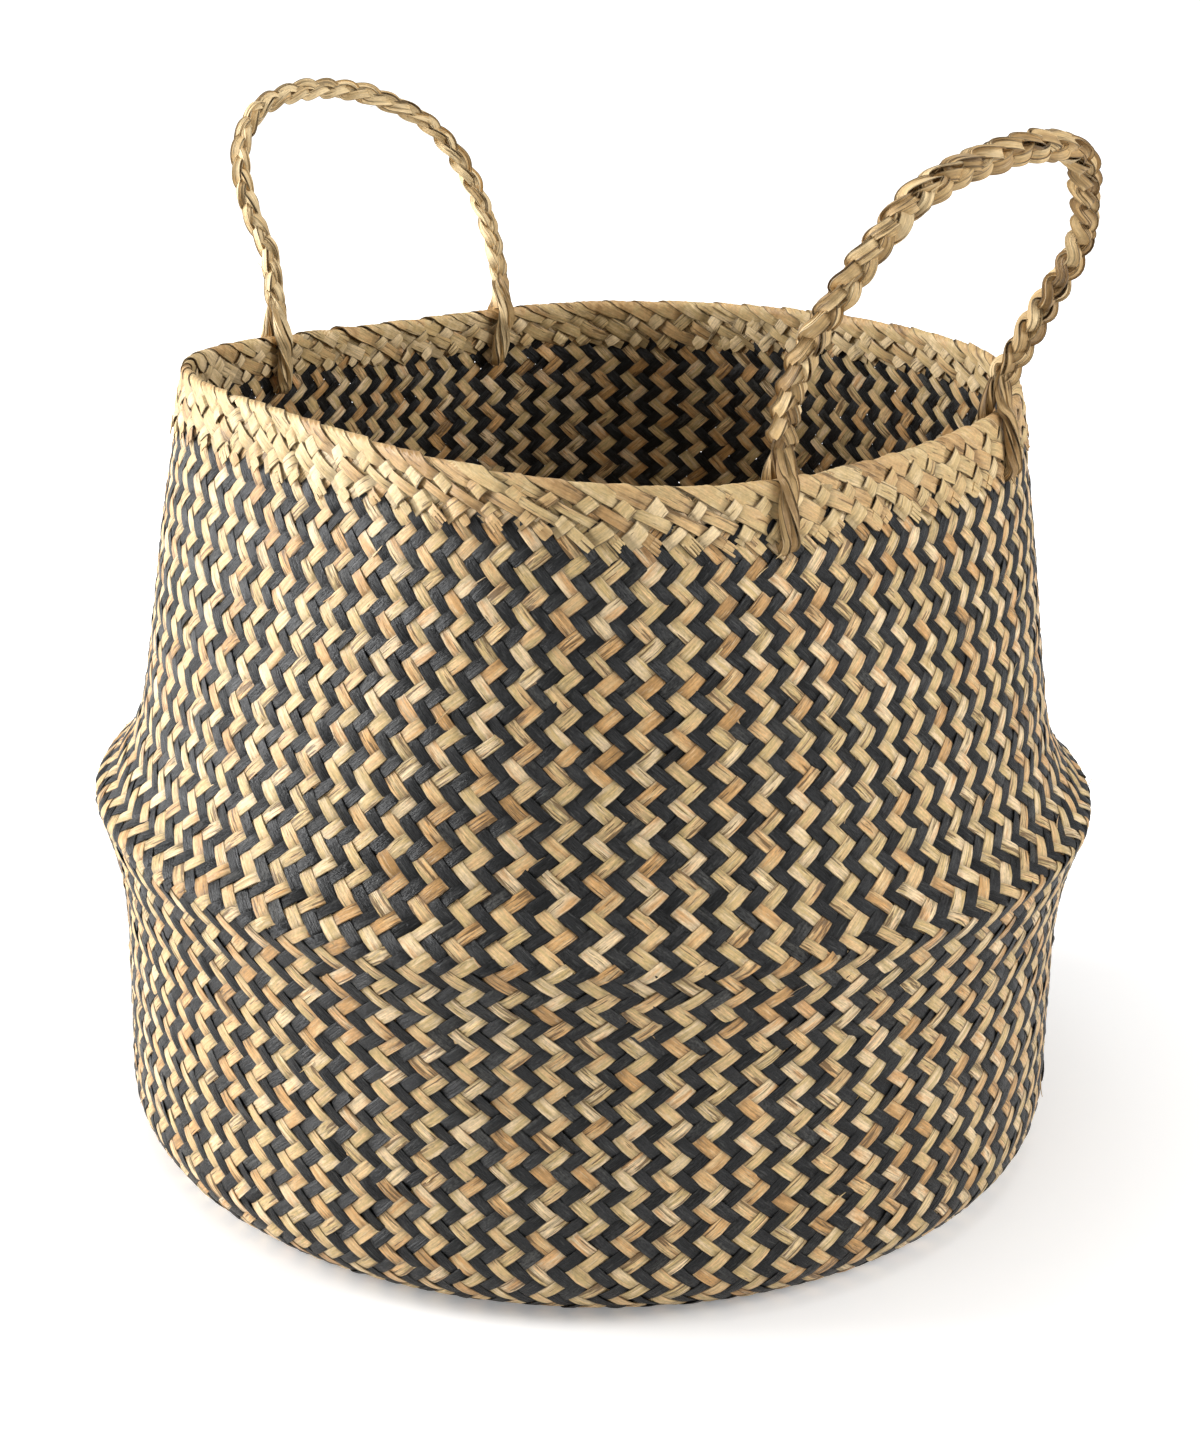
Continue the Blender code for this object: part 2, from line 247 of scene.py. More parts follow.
class Sheaf:
    """Swept blades gathered into one mesh, with the lengthwise data that the materials read."""

    MAP_ROW = 0.70
    MAP_SPARE = 0.012
    SHARP_ANGLE = math.radians(35)

    def __init__(self):
        self.points, self.fibres, self.places, self.tones = [], [], [], []
        self.quads, self.quad_maps, self.caps, self.cap_maps = [], [], [], []
        self.slots = []
        self.count = 0
        self.map_rows = 0

    def add(self, points, section, along, tone, ident, slots=0, dive=0, wear=0.5):
        """points is stations by ring by 3; section gives each point's place across and through the blade."""
        stations, ring = section.shape[:2]
        self.points.append(points.reshape(-1, 3))
        across = section[..., 0]
        share = across / np.ptp(across, axis=1)[:, None]
        dive, wear = (np.broadcast_to(value, stations)[:, None] for value in (dive, wear))
        # The place attribute holds each point's share across the width, the painted shade of a dive, and the
        # wear
        for rows, values in ((self.fibres, (across, along[:, None], ident)),
                             (self.places, (share, dive, wear))):
            rows.append(np.stack(np.broadcast_arrays(*values), -1).reshape(-1, 3))
        self.tones.append(np.repeat(np.broadcast_to(tone, stations), ring))
        first = self.count + np.arange(stations - 1)[:, None] * ring
        here = np.arange(ring)[None]
        after = (here + 1) % ring
        quads = np.stack([first + here, first + here + ring, first + after + ring, first + after], -1)
        self.quads.append(quads.reshape(-1, 4))
        self.slots.append(np.repeat(np.broadcast_to(slots, stations - 1), ring))
        self.map_quads(section, along, ring)
        self.caps.append(np.stack([self.count + np.arange(ring),
                                   self.count + (stations - 1) * ring + np.arange(ring)[::-1]]))
        self.count += stations * ring

    def sweep(self, centres, side, normal, section, along, tone, ident):
        """Add a blade whose section stands square to its own side and normal directions."""
        points = centres[:, None] + section[..., :1] * side[:, None] + section[..., 1:] * normal[:, None]
        self.add(points, section, along, tone, ident, wear=0.7 * rng.random())

    def map_quads(self, section, along, ring):
        """Lay the blade out in straight rows of the bake's map."""
        loop = np.concatenate([section[len(section) // 2], section[len(section) // 2][:1]])
        share = path_length(loop)
        share = 0.05 + 0.9 * share / share[-1]
        start = along[:-1] - along[0]
        row = np.floor(start / self.MAP_ROW)
        low = (start - row * self.MAP_ROW) / self.MAP_ROW
        high = low + np.diff(along) / self.MAP_ROW
        row = row + self.map_rows
        low, high = (np.repeat(value[:, None], ring, 1) for value in (low, high))
        near, far = (np.repeat(row[:, None], ring, 1) + value for value in (share[:-1], share[1:]))
        corners = [np.stack(pair, -1) for pair in ((low, near), (high, near), (high, far), (low, far))]
        self.quad_maps.append(np.stack(corners, 2).reshape(-1, 2))
        ends = []
        for station, place, line in ((0, low[0, 0], row[0]), (-1, high[-1, 0], row[-1])):
            depth = section[station, :, 1]
            depth = (depth - depth.min()) / max(np.ptp(depth), 1e-9)
            sign = -1 if station == 0 else 1
            flat = np.stack([place + sign * self.MAP_SPARE * (0.2 + depth), line + share[:-1]], -1)
            ends.append(flat if station == 0 else flat[::-1])
        self.cap_maps.append(np.stack(ends))
        self.map_rows = row[-1] + 1

    def make(self, name, materials):
        points = np.concatenate(self.points)
        quads = np.concatenate(self.quads)
        caps = [cap for pair in self.caps for cap in pair]
        loops = np.concatenate([quads.ravel()] + caps)
        sizes = np.concatenate([np.full(len(quads), 4), [len(cap) for cap in caps]])
        starts = np.concatenate([[0], np.cumsum(sizes)[:-1]])
        mesh = bpy.data.meshes.new(name)
        mesh.vertices.add(len(points))
        mesh.vertices.foreach_set("co", points.astype(np.float32).ravel())
        mesh.loops.add(len(loops))
        mesh.loops.foreach_set("vertex_index", loops.astype(np.int32))
        mesh.polygons.add(len(sizes))
        mesh.polygons.foreach_set("loop_start", starts.astype(np.int32))
        slots = np.concatenate(self.slots + [np.full(len(caps), 0)]).astype(np.int32)
        mesh.polygons.foreach_set("material_index", slots)
        mesh.update(calc_edges=True)
        for attribute, kind, field, values in (
                ("fibre", "FLOAT_VECTOR", "vector", np.concatenate(self.fibres)),
                ("place", "FLOAT_VECTOR", "vector", np.concatenate(self.places)),
                ("tone", "FLOAT", "value", np.concatenate(self.tones))):
            layer = mesh.attributes.new(attribute, kind, "POINT")
            layer.data.foreach_set(field, values.astype(np.float32).ravel())
        flat = np.concatenate([np.concatenate(self.quad_maps)]
                              + [end for pair in self.cap_maps for end in pair])
        flat[:, 0] = 0.02 + 0.95 * flat[:, 0]
        flat[:, 1] /= self.map_rows
        layer = mesh.uv_layers.new(name="OFBake")
        layer.uv.foreach_set("vector", flat.astype(np.float32).ravel())
        for material in materials:
            mesh.materials.append(material)
        mesh.shade_smooth()
        mesh.set_sharp_from_angle(angle=self.SHARP_ANGLE)
        obj = bpy.data.objects.new(name, mesh)
        bpy.context.scene.collection.objects.link(obj)
        return obj


# A blade's section, round its ring: places across in widths and through in thicknesses
RIBBON_SIDE = np.array([-0.5, -0.46, 0.0, 0.46, 0.5, 0.46, 0.0, -0.46])
RIBBON_FACE = np.array([0, 0.46, 0.60, 0.46, 0, -0.46, -0.60, -0.46])
BROAD_SIDE = np.array([-0.5, -0.46, -0.24, 0.0, 0.24, 0.46, 0.5, 0.46, 0.24, 0.0, -0.24, -0.46])
BROAD_FACE = np.array([0, 0.46, 0.56, 0.60, 0.56, 0.46, 0, -0.46, -0.56, -0.60, -0.56, -0.46])


def ribbon_section(widths, thickness, tilt=0.0, crease=0.0, crease_place=0.0):
    """A flat blade, one ring of eight points for each station, with a crease along both faces."""
    shape = (len(widths), 8)
    side = np.broadcast_to(RIBBON_SIDE, shape).copy()
    face = np.broadcast_to(RIBBON_FACE * thickness, shape).copy()
    side[:, [2, 6]] += np.broadcast_to(crease_place, len(widths))[:, None]
    face[:, [2, 6]] += np.broadcast_to(crease, len(widths))[:, None]
    side *= widths[:, None]
    return np.stack([side, face + np.broadcast_to(tilt, len(widths))[:, None] * side], -1)


# Zigzag plait

# Heights of a strip above the sheet's middle, in lifts: at a dive's end, at a float's ends and its
# crown, and where a float spans one crossing only. DIVE_REACH is how far a float runs past a crossing.
# Below DIVE_LIMIT the strip gets the painted shade of a dive; above BULGE_START a natural strip widens.
DIVE_HEIGHT = 0.50
FLOAT_HEIGHT = 1.06
CROWN_HEIGHT = 1.45
SINGLE_HEIGHT = 1.25
DIVE_REACH = 0.37
DIVE_LIMIT = 0.9
BULGE_START = 0.67
BULGE_RISE = 0.78

# Extra stations on both sides of the belly's ridge, in rows
RIDGE_REACH = 1.75
RIDGE_STEP = 0.25

# Dyed strips turn plain under the rim band, this many rows below the rim outside and inside
PLAIN_ROWS = (3.5, 4.5)

# Random spread by kind of strip: mean width and its spread by strip and by float, sideways shift,
# mean crease and its spread in mm, and tilt
SPREAD = {"dyed": (1.0, 0.012, 0.018, 0.011, 0.12, 0.10, 0.11),
          "natural": (1.03, 0.025, 0.045, 0.022, 0.06, 0.13, 0.05)}
SLIVER_SHARE = 0.012


def strip_points(strip, path, shift):
    """Middle-surface points and normals along one strip: down the wall, across the base and up again.

    path counts crossings from the place where the strip turns in under the base, and shift counts
    strips to the side; both may be arrays of one shape.
    """
    side, place = divmod(strip, SIDE_STRIPS)
    place = place + 0.5 + shift
    across = 2 * place
    going_down, going_up = path < 0, path > across
    on_base = ~going_down & ~going_up
    points, normals = np.empty(path.shape + (3,)), np.empty(path.shape + (3,))
    row = -path[going_down]
    turn = SIDE_STRIPS * side + place[going_down] + row / 2
    points[going_down], normals[going_down], _ = wall_frame(turn, row)
    row = (path - across)[going_up]
    turn = SIDE_STRIPS * side - place[going_up] - row / 2
    points[going_up], normals[going_up], _ = wall_frame(turn, row)
    half = SIDE_STRIPS / 2
    points[on_base] = base_point(side, (place[on_base] - path[on_base] / 2 - half) / half,
                                 1 - path[on_base] / SIDE_STRIPS)
    normals[on_base] = (0, 0, -1)
    return points, normals


def strip_is_over(strip, crossing):
    """Whether the strip lies outside at a crossing: a two by two twill that stacks into zigzags."""
    side, place = divmod(strip, SIDE_STRIPS)
    across = 2 * place + 1
    if crossing <= 0:
        return -crossing % 4 in (0, 1)
    if crossing >= across:
        return (crossing - across) % 4 in (2, 3)
    half = SIDE_STRIPS / 2
    u = (place + 0.5 - crossing / 2 - half) / half
    v = 1 - crossing / SIDE_STRIPS
    quarter = [v, -u, -v, u].index(max(v, -u, -v, u))
    row = -round(SIDE_STRIPS * (1 - max(abs(u), abs(v))))
    return row % 4 in ((0, 1) if quarter % 2 == 0 else (2, 3))


def strip_floats(strip):
    """Runs of crossings on one side of the sheet: first, last and whether it is the outside."""
    across = 2 * (strip % SIDE_STRIPS) + 1
    floats = []
    for crossing in range(-TOP_ROW, across + TOP_ROW + 1):
        over = strip_is_over(strip, crossing)
        if floats and floats[-1][2] == over:
            floats[-1][1] = crossing
        else:
            floats.append([crossing, crossing, over])
    return floats, across


def strip_stations(floats, across):
    """Places along a strip where its section is set, the float that each belongs to and its height."""
    path, owner, height = [], [], []
    low, high = END_ROWS - TOP_ROW, across + TOP_ROW - END_ROWS
    for index, (first, last, over) in enumerate(floats):
        level = 1 if over else -1
        stops = [(first, SINGLE_HEIGHT)]
        if last > first:
            stops = [(first, FLOAT_HEIGHT), ((first + last) / 2, CROWN_HEIGHT), (last, FLOAT_HEIGHT)]
        stops = [(first - DIVE_REACH, DIVE_HEIGHT)] + stops + [(last + DIVE_REACH, DIVE_HEIGHT)]
        for stop, share in stops:
            path.append(min(max(stop, low), high))
            owner.append(index)
            height.append(level * share)
    path, owner, height = np.array(path), np.array(owner), np.array(height)
    keep = np.concatenate([[True], np.diff(path) > 0.01])
    path, owner, height = path[keep], owner[keep], height[keep]
    offsets = np.arange(-RIDGE_REACH, RIDGE_REACH + 0.01, RIDGE_STEP)
    ridge = np.concatenate([-RIDGE_ROW + offsets, across + RIDGE_ROW + offsets])
    extra = np.array([stop for stop in ridge if np.abs(path - stop).min() > 0.11])
    nearest = np.array([np.abs(path - stop).argmin() for stop in extra], int)
    order = np.argsort(np.concatenate([path, extra]), kind="stable")
    height = np.concatenate([height, np.interp(extra, path, height)])[order]
    owner = np.concatenate([owner, owner[nearest]])[order]
    return np.concatenate([path, extra])[order], owner, height, low, high


def add_strip(sheaf, strip):
    """One strip from rim to rim, passing under the basket; every second strip is dyed."""
    dyed = strip % 2 == 1
    floats, across = strip_floats(strip)
    count = len(floats)
    path, owner, height, low, high = strip_stations(floats, across)
    spread = SPREAD["dyed" if dyed else "natural"]
    mean, by_strip, by_float, by_shift, mean_crease, by_crease, by_tilt = spread
    width = rng.normal(mean, by_strip) + rng.normal(0, by_float, count)
    shift = rng.normal(0, by_shift, count)
    crease = rng.normal(mean_crease, by_crease, count)
    bulge = np.zeros(count) if dyed else np.clip(rng.normal(0.03, 0.06, count), -0.02, 0.15)
    width = np.clip(width, 0.84, 1.10)
    tilt = rng.normal(0, by_tilt, count)
    place = rng.uniform(-0.22, 0.22, count)
    lift = rng.normal(0, 0.05 * MM, count)
    tone = 0.45 * rng.random() + 0.55 * rng.random(count)

    shift = shift[owner]
    points, normals = strip_points(strip, path, shift)
    step = 0.05
    ahead = strip_points(strip, np.minimum(path + step, high), shift)[0]
    behind = strip_points(strip, np.maximum(path - step, low), shift)[0]
    stretch = np.linalg.norm(ahead - behind, axis=1) / (2 * step)
    tangents = unit(ahead - behind)
    sides = unit(np.cross(normals, tangents))
    beside = strip_points(strip, path, shift + step)[0] - strip_points(strip, path, shift - step)[0]
    beside /= 2 * step
    spacing = (beside * sides).sum(1)
    slant = (beside * tangents).sum(1)
    swell = 1 + bulge[owner] * np.clip((np.abs(height) - BULGE_START) / BULGE_RISE, 0, 1)
    section = ribbon_section(np.abs(spacing) * width[owner] * swell, STRIP_THICKNESS, tilt[owner],
                             crease[owner] * np.sign(height) * MM, place[owner])
    aside = section[..., 0] / spacing[:, None]
    along_it = -aside * (slant / stretch)[:, None]
    ring_path = np.clip(path[:, None] + along_it, low, high)
    ring_points, ring_normals = strip_points(strip, ring_path, shift[:, None] + aside)
    depth = section[..., 1] + (height * STRIP_LIFT + lift[owner])[:, None]
    along = path_length(points)
    row = np.where(path < 0, -path, np.where(path > across, path - across, -1))
    hidden_row = np.where(height > 0, TOP_ROW - PLAIN_ROWS[0], TOP_ROW - PLAIN_ROWS[1])
    slots = np.where(dyed & (row < hidden_row), 1, 0)[:-1]
    wear = rng.random(count) ** 1.5
    # Where the strip dives under, it is marked for painted shade
    sheaf.add(ring_points + depth[..., None] * ring_normals, section, along + rng.random() * 3,
              tone[owner], rng.random() * 40, slots, np.abs(height) < DIVE_LIMIT, wear[owner])
    if not dyed:
        add_slivers(sheaf, points, normals, tangents, sides, path, height)


def add_slivers(sheaf, points, normals, tangents, sides, path, height):
    """Split fibres that have lifted off a natural strip here and there."""
    for at in np.flatnonzero((height > 1) & (path < -6)):
        if rng.random() > SLIVER_SHARE:
            continue
        edge = rng.choice([-1, 1])
        start = points[at] + normals[at] * 0.75 * MM + sides[at] * edge * rng.uniform(1.0, 2.0) * MM
        way = tangents[at] * rng.choice([-1, 1]) + sides[at] * edge * rng.uniform(0, 0.12)
        bend = normals[at] * rng.uniform(0.05, 0.3) + sides[at] * edge * rng.uniform(0, 0.15)
        add_wisp(sheaf, start, way, bend, rng.uniform(4, 8) * MM, rng.uniform(0.35, 0.8) * MM,
                 rng.uniform(0.3, 0.9))


def make_plait(materials):
    pieces = []
    group = STRIPS // PLAIT_PIECES
    for index in range(PLAIT_PIECES):
        sheaf = Sheaf()
        for strip in range(index * group, (index + 1) * group):
            add_strip(sheaf, strip)
        pieces.append(sheaf.make(f"plait_{index + 1:02d}", materials))
    return pieces


# Folded rim band

BAND_FOLD = math.pi * BAND_OFFSET
BAND_TURN = math.tau * RIM_RADIUS / STRIPS

# Rows of a band strip: the place counted down from the rim, and whether it lies over or under there
LEADING_ROWS = [(-5.6, 0), (-4.68, 0), (-4.44, 1), (-4.0, 1.2), (-3.56, 1), (-3.32, 0), (-2.68, 0),
                (-2.44, 1), (-1.0, 1), (0.46, 1), (0.68, 0), (1.32, 0), (1.56, 1), (2.0, 1.2), (2.44, 1),
                (2.68, 0), (3.32, 0), (3.56, 1), (4.0, 1.2)]
CROSSING_ROWS = [(-5.4, 1), (-5.0, 1.2), (-4.62, 1), (-4.42, 0), (-3.58, 0), (-3.38, 1), (-3.0, 1.2),
                 (-2.62, 1), (-2.42, 0), (-1.0, 0), (0.44, 0), (0.62, 1), (1.0, 1.2), (1.38, 1), (1.58, 0),
                 (2.42, 0), (2.62, 1), (3.0, 1.2), (3.38, 1), (3.6, 0), (3.95, 0)]

# Strips round for each row down, up to LEAN_ROW and past it
LEADING_LEAN = (1.32, 0.72)
CROSSING_LEAN = (-0.68, -0.68)
LEAN_ROW = 3
LEADING_WIDTH = 5.2 * MM
CROSSING_WIDTH = 5.7 * MM
RIM_WIDTH = 6.0 * MM

# Torn ends: least and one past most tongues, least and most length in mm
TORN_TONGUES = (1, 5)
TORN_LENGTH = (1.2, 4.2)
TORN_LEAST = 0.6 * MM


def band_frame(turn, descent, offset):
    """A point beside the wall: descent is measured down the outside, and below -BAND_FOLD up the inside."""
    outside = descent >= 0
    inside = descent <= -BAND_FOLD
    depth = np.where(outside, descent, np.where(inside, -BAND_FOLD - descent, 0))
    row_height = (ROW_HEIGHTS[-1] - RIDGE_HEIGHT) / (TOP_ROW - RIDGE_ROW)
    point, normal, up = wall_frame(turn, TOP_ROW - depth / row_height)
    swing = np.clip(-descent / BAND_FOLD, 0, 1)[..., None] * math.pi
    away = np.cos(swing) * normal + np.sin(swing) * up
    return point + (BAND_OFFSET + offset)[..., None] * away


def add_band_blade(sheaf, turn, descent, offset, widths, tilt, tone, ident, dive=0):
    """A blade that keeps to the band's surface all across its width, round the fold as well."""
    shape = (len(widths), len(BROAD_SIDE))
    across = BROAD_SIDE * widths[:, None]
    face = np.broadcast_to(BROAD_FACE * BAND_THICKNESS, shape) + tilt * across
    face = face + rng.normal(0.04, 0.12) * MM * (1 - 4 * BROAD_SIDE ** 2)
    section = np.stack([across, face], -1)
    way = unit(np.stack([np.gradient(turn) * BAND_TURN, np.gradient(descent)], -1))
    ring_turn = turn[:, None] + across * way[:, 1:] / BAND_TURN
    ring_descent = descent[:, None] - across * way[:, :1]
    points = band_frame(ring_turn, ring_descent, offset[:, None] + face)
    steps = np.hypot(np.diff(turn) * BAND_TURN, np.diff(descent))
    along = np.concatenate([[0], np.cumsum(steps)])
    sheaf.add(points, section, along + ident, tone, ident, dive=dive, wear=0.6 * rng.random())


def add_band_strip(sheaf, strip, leading):
    """Leading strips run down to the right outside and lie over the rim; the others cross them."""
    rows = LEADING_ROWS if leading else CROSSING_ROWS
    lean, lean_late = LEADING_LEAN if leading else CROSSING_LEAN
    stops = np.array([row for row, _ in rows])
    place = np.unique(np.concatenate([stops, np.arange(-2.3, 0.44, 0.14)]).round(3))
    level = np.interp(place, stops, [over for _, over in rows])
    descent = (0.5 + place) * BAND_ROW + rng.normal(0, 0.30 * MM)
    turn = 2 * strip + lean * np.minimum(place, LEAN_ROW) + lean_late * np.maximum(place - LEAN_ROW, 0)
    turn = turn + rng.normal(0, 0.13) + (place - 1) * rng.normal(0, 0.07)
    turn = turn + 0.10 * np.sin(place * 1.5 + rng.random() * 6)
    offset = (level * 2 - 1) * BAND_LIFT + rng.normal(0, 0.20 * MM) + rng.normal(0, 0.02 * MM, len(place))
    mean = LEADING_WIDTH if leading else CROSSING_WIDTH
    width = mean * np.clip(rng.normal(1, 0.15), 0.66, 1.18)
    widths = width * (1 + 0.06 * np.sin(place * 2.1 + rng.random() * 6))
    if leading:
        over_rim = smoothstep((place + 2.6) / 0.8) * smoothstep((0.9 - place) / 0.8)
        widths = widths + over_rim * (RIM_WIDTH - widths)
        tilt = (0.12 * over_rim + rng.normal(0, 0.06))[:, None]
    else:
        tilt = rng.normal(0, 0.08)
    widths[0] *= 0.7
    tone = rng.random() * 0.65 + (0.04 if leading else 0.34)
    # Painted light: the band's rows inside the fold are made lighter
    tone = np.clip(tone + rng.normal(0, 0.05, len(place)) + 0.25 * (place < -1.5), 0, 1)
    ident = rng.random() * 40
    # Where the strip lies under, it is marked for the painted shade of a dive
    add_band_blade(sheaf, turn, descent, offset, widths, tilt, tone, ident, level < 0.5)
    if leading:
        add_torn_end(sheaf, turn, descent, offset, width, tone[-1], ident)


def add_torn_end(sheaf, turn, descent, offset, width, tone, ident):
    """The cut end of a leading strip, torn lengthwise into tongues of unlike length."""
    tongues = int(rng.integers(*TORN_TONGUES))
    shares = rng.uniform(0.6, 1.4, tongues)
    shares /= shares.sum()
    lean = (turn[-1] - turn[-3]) / (descent[-1] - descent[-3])
    slope = math.hypot(1, lean * BAND_TURN)
    whole = rng.uniform(*TORN_LENGTH) * MM
    rise = rng.normal(0.10, 0.20)
    start = 0.0
    for share in shares:
        middle = (start + share / 2 - 0.5) * width
        start += share
        reach = max(whole + rng.normal(0, 0.45 * MM), TORN_LEAST)
        steps = np.array([-1.3 * MM, 0, reach * 0.5, reach])
        fan = rng.normal(0, 0.02) * np.clip(steps, 0, None) / BAND_TURN
        down = descent[-1] + steps / slope + middle * lean * BAND_TURN / slope
        round_it = turn[-1] + lean * steps / slope - middle / slope / BAND_TURN + fan
        lift = offset[-1] + np.array([0, 0.03, 0.5 * rise, rise + rng.normal(0, 0.08)]) * MM
        widths = width * share * np.array([0.97, 1.0, 0.98, rng.uniform(0.7, 1.0)])
        add_band_blade(sheaf, round_it, down, lift, widths, rng.normal(0, 0.05), tone, ident)


def make_band(material):
    sheaf = Sheaf()
    for strip in range(BAND_STRIPS):
        add_band_strip(sheaf, strip, True)
        add_band_strip(sheaf, strip, False)
    return sheaf.make("rim_band", [material])


# Braided handles

def catmull(points, step):
    """Evenly spaced points on a smooth curve through the given ones."""
    points = np.array(points)
    ends = np.concatenate([[2 * points[0] - points[1]], points, [2 * points[-1] - points[-2]]])
    share = np.linspace(0, 1, 25)[:-1, None]
    dense = []
    for first, start, end, last in zip(ends, ends[1:], ends[2:], ends[3:]):
        dense.append(0.5 * (2 * start + (end - first) * share
                            + (2 * first - 5 * start + 4 * end - last) * share ** 2
                            + (3 * start - 3 * end + last - first) * share ** 3))
    dense = np.concatenate(dense + [points[-1:]])
    path = path_length(dense)
    even = np.linspace(0, path[-1], max(round(path[-1] / step), 2) + 1)
    return np.stack([np.interp(even, path, dense[:, axis]) for axis in range(3)], -1)


def handle_frame(shape):
    """The loop's hinge, as in the part: its middle, half span and axis, and the way the loop leans."""
    angles = np.array(shape["feet"])
    feet = settle(np.full(2, RIM_RADIUS - WALL / 2), angles, np.full(2, RIM_HEIGHT))
    feet = feet + (0, 0, PIVOT_RISE)
    middle = feet.mean(0)
    axis = unit(feet[1] - feet[0])
    outward = np.array([middle[0], middle[1], 0])
    outward = unit(outward - axis * outward.dot(axis))
    up = np.cross(axis, outward)
    up = up if up[2] > 0 else -up
    tilt = shape["tilt"]
    lean = up * math.cos(tilt) + outward * math.sin(tilt)
    return middle, np.linalg.norm(feet[1] - feet[0]) / 2, axis, lean


# Stations along a rope, strands in it and folded blades in a strand
ROPE_STEP = 0.9 * MM
ROPE_STRANDS = 3
STRAND_BLADES = 4
BLADE_THICKNESS = 0.42 * MM

BRAID_PERIOD = 30 * MM
BRAID_SWAY = 1.95 * MM
BRAID_DIP = 1.8 * MM
BRAID_STRAND = 2.5 * MM
BRAID_COVER = 6.2
BRAID_FLAT = 0.80
BRAID_WISPS = 16

LASH_SWAY = 1.9 * MM
LASH_DIP = 0.95 * MM
LASH_STRAND = 1.85 * MM
LASH_COVER = 5.8
LASH_FLAT = 0.85
LASH_DARKER = 0.14
LASH_STANDING = 5.0 * MM
LASH_WISPS = 20


def add_strand(sheaf, centres, side, length, radius, cover, flat, twist, tone_shift, ident):
    """One strand of a braid or lashing: folded blades laid round it like shingles, slowly turning."""
    tangents = unit(np.gradient(centres, axis=0))
    side = unit(side - (side * tangents).sum(1, keepdims=True) * tangents)
    normal = np.cross(side, tangents)
    for blade in range(STRAND_BLADES):
        turn = math.tau * blade / STRAND_BLADES + twist + 0.30 * np.sin(length / (9 * MM) + ident + 2 * blade)
        out = np.cos(turn)[:, None] * side + flat * np.sin(turn)[:, None] * normal
        around = unit(-np.sin(turn)[:, None] * side + flat * np.cos(turn)[:, None] * normal)
        outward = np.cross(around, tangents)
        swell = 1 + 0.10 * np.sin(length / (6 * MM) + 2 * blade + ident) + 0.06 * rng.normal()
        spine = centres + out * (radius * (0.74 + 0.05 * rng.normal()))[:, None]
        section = ribbon_section(cover / STRAND_BLADES * radius * swell, BLADE_THICKNESS,
                                 rng.normal(0.20, 0.10), rng.uniform(0.10, 0.30) * MM,
                                 rng.uniform(-0.15, 0.15))
        section = section * (radius / radius.max())[:, None, None] ** np.array([0.0, 0.6])
        tone = np.clip(tone_shift + 0.22 * np.sin(length / (17 * MM) + 2.3 * blade + ident)
                       + 0.16 * rng.normal() + rng.normal(0, 0.03, len(length)), 0, 1)
        sheaf.sweep(spine, around, outward, section, length + blade, tone, ident + 3.3 * blade)


def add_wisp(sheaf, start, way, bend, reach, width, tone):
    """A loose fibre or torn edge that stands off the strand it belongs to."""
    share = np.linspace(0, 1, 5)
    centres = start + np.outer(share, way) * reach + np.outer(share ** 2, bend) * reach
    tangents = unit(np.gradient(centres, axis=0))
    side = unit(np.cross(tangents, bend))
    normal = np.cross(side, tangents)
    widths = width * np.array([1, 1, 0.85, 0.6, 0.25])
    section = ribbon_section(widths, 0.16 * MM)
    sheaf.sweep(centres, side, normal, section, share * reach + tone * 7, tone, tone * 31)


def make_braid(name, shape, material):
    """A three-strand braid of dried sedge along the handle's loop."""
    middle, half, axis, lean = handle_frame(shape)
    face = np.cross(axis, lean)
    points = [axis * -half]
    points += [axis * (half * across) + lean * (shape["height"] * rise)
               for across, rise in shape["outline_shares"]]
    points.append(axis * half)
    route = middle + catmull(points, ROPE_STEP)
    count = len(route)
    tangents = unit(np.gradient(route, axis=0))
    in_plane = unit(np.cross(np.broadcast_to(face, tangents.shape), tangents))
    flat = unit(np.cross(tangents, in_plane))
    length = np.arange(count) * ROPE_STEP
    turning = np.interp(length / length[-1], [0, 0.5, 1], shape["turns"])
    turning = (turning + 0.15 * np.sin(length / (23 * MM) + 1))[:, None]
    side = np.cos(turning) * in_plane + np.sin(turning) * flat
    normal = np.cross(side, tangents)
    ends = np.minimum(length, length[-1] - length)
    gather = 0.60 + 0.40 * smoothstep(ends / (5 * MM))
    stretch = np.cumsum(1 + 0.10 * np.sin(length / (31 * MM) + rng.random() * 6)) * ROPE_STEP
    sheaf = Sheaf()
    for strand in range(ROPE_STRANDS):
        phase = math.tau * (stretch / BRAID_PERIOD + strand / ROPE_STRANDS)
        sway = (BRAID_SWAY * np.sin(phase) * gather)[:, None]
        dip = (BRAID_DIP * np.sin(2 * phase) * gather)[:, None]
        centres = route + shape["thickness"] * (sway * side + dip * normal)
        radius = BRAID_STRAND * shape["thickness"] * (0.70 + 0.30 * smoothstep(ends / (3 * MM)))
        radius = radius * (1 + 0.06 * np.sin(length / (9 * MM) + 2.1 * strand))
        add_strand(sheaf, centres, side, length, radius, BRAID_COVER, BRAID_FLAT,
                   0.5 * np.sin(phase) + length / (45 * MM), shape["tone"], 2.1 * strand + rng.random())
    for _ in range(BRAID_WISPS):
        at = int(rng.integers(5, count - 6))
        around = rng.uniform(0, math.tau)
        out = math.cos(around) * side[at] + math.sin(around) * normal[at]
        way = tangents[at] * rng.choice([-1, 1]) + out * rng.uniform(0.05, 0.35)
        add_wisp(sheaf, route[at] + out * 3.6 * MM, way, out * rng.uniform(-0.5, 0.3) + 0.05 * tangents[at],
                 rng.uniform(2.5, 6) * MM, rng.uniform(0.3, 0.9) * MM, rng.uniform(0.5, 1))
    return sheaf.make(name, [material])


